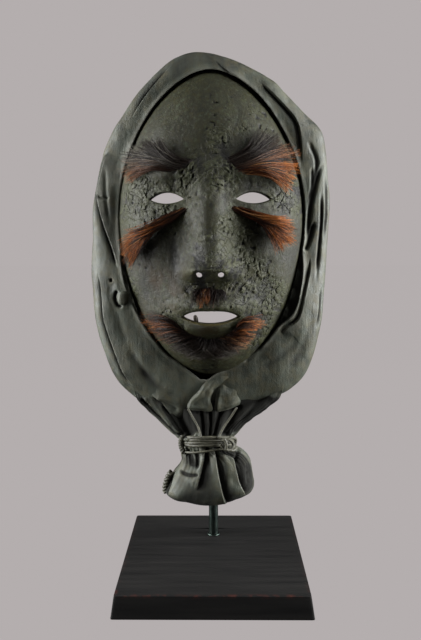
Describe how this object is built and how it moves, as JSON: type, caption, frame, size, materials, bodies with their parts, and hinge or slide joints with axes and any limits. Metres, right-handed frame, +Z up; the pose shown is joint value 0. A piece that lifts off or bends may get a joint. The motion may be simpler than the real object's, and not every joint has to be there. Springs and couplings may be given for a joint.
{
  "type": "face mask on display stand",
  "caption": "Carved wooden face mask with bristle brows and beard, in a tied hide hood, on a padded bracket that lifts off and turns on a post and base.",
  "frame": {"origin": "middle of the stand's underside, where it rests", "axes": "+Z up, the mask looks along -Y, +X to the viewer's right"},
  "size_m": [0.189, 0.15, 0.4183],
  "materials": {
    "felt": "matt black felt under the base",
    "lacquered_wood": "satin black lacquer",
    "steel_post": "blackened satin steel with a blue-green sheen",
    "iron": "dull oxidised iron",
    "nylon": "natural nylon",
    "brass": "dull brazed brass",
    "cork": "natural cork",
    "face_wood": "dark grey-green patina, crusted and finely cracked, worn brown at the edges",
    "hood_hide": "stiffened dark grey-green hide with a satin sheen",
    "thong": "twisted brown-green thong",
    "bristle_brown": "grey-brown animal bristles with rusty tips",
    "bristle_red": "rusty orange animal bristles"
  },
  "bodies": {
    "stand": {"base_felt": "felt", "base_plate": "lacquered_wood", "post_washer": "iron", "post_screw": "iron", "post": "steel_post", "post_collar": "steel_post"},
    "bush": {"post_bush": "nylon"},
    "mask": {"bracket_socket": "brass", "grip_screw": "brass", "bracket_yoke": "brass", "mouth_hook": "brass", "pad_left": "cork", "pad_right": "cork", "face_shell": "face_wood", "hood_shell": "hood_hide", "wrap_right": "hood_hide", "wrap_left": "hood_hide", "throat_flap_right": "hood_hide", "throat_flap_left": "hood_hide", "hood_tail": "hood_hide", "tie_thong": "thong", "tie_knot": "thong", "lace_knots": "thong", "hood_toggle": "thong", "brow_right": "bristle_brown", "brow_left": "bristle_brown", "cheek_tuft_right": "bristle_red", "cheek_tuft_left": "bristle_red", "beard_right": "bristle_red", "beard_left": "bristle_red", "moustache": "bristle_brown", "hood_nail_1": "iron", "hood_nail_2": "iron", "hood_nail_3": "iron", "hood_nail_4": "iron", "hood_nail_5": "iron", "hood_nail_6": "iron", "hood_nail_7": "iron"}
  },
  "joints": [
    {"name": "mask_lift", "type": "slide", "parent": "stand", "child": "bush", "axis": [0, 0, 1], "range_m": [0, 0.045]},
    {"name": "mask_swivel", "type": "hinge", "parent": "bush", "child": "mask", "pos_m": [0, 0.033, 0.16], "axis": [0, 0, 1], "continuous": true}
  ]
}
